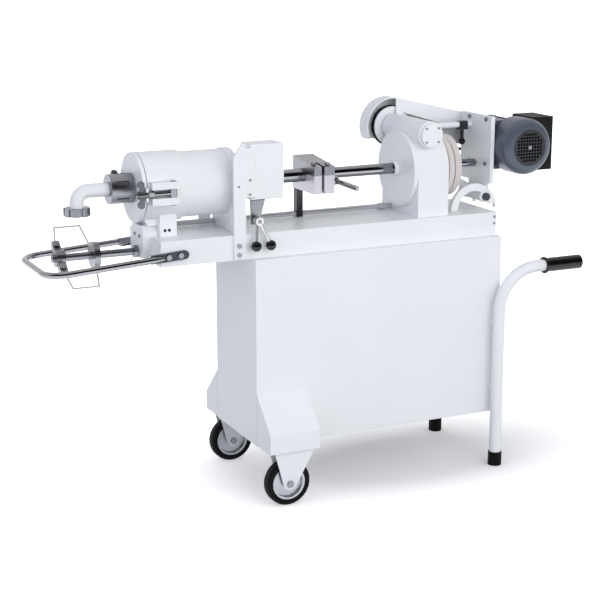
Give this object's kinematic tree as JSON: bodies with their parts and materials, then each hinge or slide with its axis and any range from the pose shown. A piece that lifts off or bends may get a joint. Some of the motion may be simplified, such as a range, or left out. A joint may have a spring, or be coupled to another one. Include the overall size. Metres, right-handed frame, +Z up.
{
  "type": "meatball forming machine",
  "caption": "Wheeled food forming machine: screw-fed piston barrel with elbow outlet, rotating wire cutter in a guard bow, worm headstock and belt-driven motor on a cabinet.",
  "frame": {"origin": "on the floor, at the middle of the overall length and width", "axes": "+X from the outlet to the push handle, +Y to the belt side away from the operator, +Z up"},
  "size_m": [1.5427, 0.45, 1.026],
  "materials": {
    "white_paint": "semi-gloss",
    "polished_steel": "polished",
    "zinc_steel": "satin",
    "black_rubber": "matt",
    "black_plastic": "gloss",
    "grey_rim": "satin",
    "food_aluminium": "satin",
    "bronze": "machined",
    "beige_paint": "satin",
    "motor_paint": "semi-gloss"
  },
  "bodies": {
    "frame": {"cabinet_ends": "white_paint", "cabinet_sides": "white_paint", "cabinet_decks": "white_paint", "legs": "white_paint", "castor_forks": "white_paint", "axle_bolts": "zinc_steel", "near_handle": "white_paint", "far_leg": "white_paint", "grip": "black_plastic", "foot_caps": "black_rubber", "bed": "white_paint", "guide_rail": "polished_steel", "barrel": "white_paint", "front_ring": "white_paint", "clamp_pins": "polished_steel", "front_cover": "white_paint", "cover_seal": "black_rubber", "elbow": "white_paint", "outlet_ring": "polished_steel", "front_support": "white_paint", "bearing_block": "white_paint", "guard_bow": "polished_steel", "bulkhead": "white_paint", "columns": "white_paint", "control_box": "white_paint", "lever_bracket": "polished_steel", "headstock_disc": "white_paint", "headstock_housing": "white_paint", "rear_cover": "beige_paint", "worm_caps": "white_paint", "belt": "black_rubber", "belt_guard": "white_paint", "hinge_bracket": "white_paint", "motor_plate": "white_paint", "tension_strut": "white_paint", "motor_body": "motor_paint", "motor_cowl": "motor_paint"},
    "near_wheel": {"near_tyre": "black_rubber", "near_rim": "grey_rim"},
    "far_wheel": {"far_tyre": "black_rubber", "far_rim": "grey_rim"},
    "cutter": {"cutter_shaft": "polished_steel", "cutter_wires": "polished_steel"},
    "union": {"union_nut": "polished_steel"},
    "near_bolt": {"near_swing_bolt": "polished_steel"},
    "far_bolt": {"far_swing_bolt": "polished_steel"},
    "near_nut": {"near_wing_nut": "zinc_steel"},
    "far_nut": {"far_wing_nut": "zinc_steel"},
    "left_lever": {"lever_a": "black_plastic"},
    "right_lever": {"lever_b": "black_plastic"},
    "carriage": {"piston": "food_aluminium", "piston_seal": "black_rubber", "piston_rod": "polished_steel", "split_nut": "polished_steel", "guide_post": "polished_steel"},
    "release": {"release_lever": "polished_steel"},
    "screw": {"lead_screw": "polished_steel", "worm_wheel": "bronze"},
    "worm": {"worm_shaft": "white_paint"},
    "rotor": {"motor_rotor": "zinc_steel"}
  },
  "joints": [
    {"name": "near_wheel_roll", "type": "hinge", "parent": "frame", "child": "near_wheel", "pos_m": [-0.15563, -0.193, 0.0625], "axis": [0, 1, 0], "continuous": true},
    {"name": "far_wheel_roll", "type": "hinge", "parent": "frame", "child": "far_wheel", "pos_m": [-0.15563, 0.193, 0.0625], "axis": [0, 1, 0], "continuous": true},
    {"name": "motor_turn", "type": "hinge", "parent": "frame", "child": "rotor", "pos_m": [0.62037, 0, 0.896], "axis": [0, 1, 0], "range_deg": [-160875, 74250]},
    {"name": "worm_turn", "type": "hinge", "parent": "frame", "child": "worm", "pos_m": [0.31437, 0, 0.946], "axis": [0, 1, 0], "range_deg": [-117117, 54054]},
    {"name": "screw_turn", "type": "hinge", "parent": "frame", "child": "screw", "pos_m": [-0.15563, 0, 0.845], "axis": [1, 0, 0], "range_deg": [-5855.85, 2702.7]},
    {"name": "carriage_feed", "type": "slide", "parent": "frame", "child": "carriage", "axis": [1, 0, 0], "range_m": [-0.06006, 0.13013]},
    {"name": "release_lever_lift", "type": "hinge", "parent": "carriage", "child": "release", "pos_m": [0.05137, -0.052, 0.833], "axis": [-1, 0, 0], "range_deg": [0, 60]},
    {"name": "near_bolt_swing", "type": "hinge", "parent": "frame", "child": "near_bolt", "pos_m": [-0.42563, -0.104, 0.842], "axis": [0, 0, 1], "range_deg": [0, 90]},
    {"name": "far_bolt_swing", "type": "hinge", "parent": "frame", "child": "far_bolt", "pos_m": [-0.42563, 0.104, 0.842], "axis": [0, 0, -1], "range_deg": [0, 90]},
    {"name": "near_wing_nut_turn", "type": "hinge", "parent": "near_bolt", "child": "near_nut", "pos_m": [-0.51063, -0.104, 0.842], "axis": [1, 0, 0], "continuous": true},
    {"name": "far_wing_nut_turn", "type": "hinge", "parent": "far_bolt", "child": "far_nut", "pos_m": [-0.51063, 0.104, 0.842], "axis": [1, 0, 0], "continuous": true},
    {"name": "union_nut_turn", "type": "hinge", "parent": "frame", "child": "union", "pos_m": [-0.54563, 0, 0.845], "axis": [1, 0, 0], "continuous": true},
    {"name": "left_lever_swing", "type": "hinge", "parent": "frame", "child": "left_lever", "pos_m": [-0.20564, -0.126, 0.757], "axis": [0, 1, 0], "range_deg": [-5, 10]},
    {"name": "right_lever_swing", "type": "hinge", "parent": "frame", "child": "right_lever", "pos_m": [-0.20564, -0.136, 0.757], "axis": [0, 1, 0], "range_deg": [-20, 5]},
    {"name": "cutter_turn", "type": "hinge", "parent": "frame", "child": "cutter", "pos_m": [-0.65563, 0, 0.679], "axis": [1, 0, 0], "continuous": true}
  ],
  "couplings": [
    {"joint": "worm_turn", "follows": "motor_turn", "ratio": 0.72727},
    {"joint": "screw_turn", "follows": "motor_turn", "ratio": 0.036364},
    {"joint": "carriage_feed", "follows": "motor_turn", "m_per_rad": -0.0000463}
  ]
}
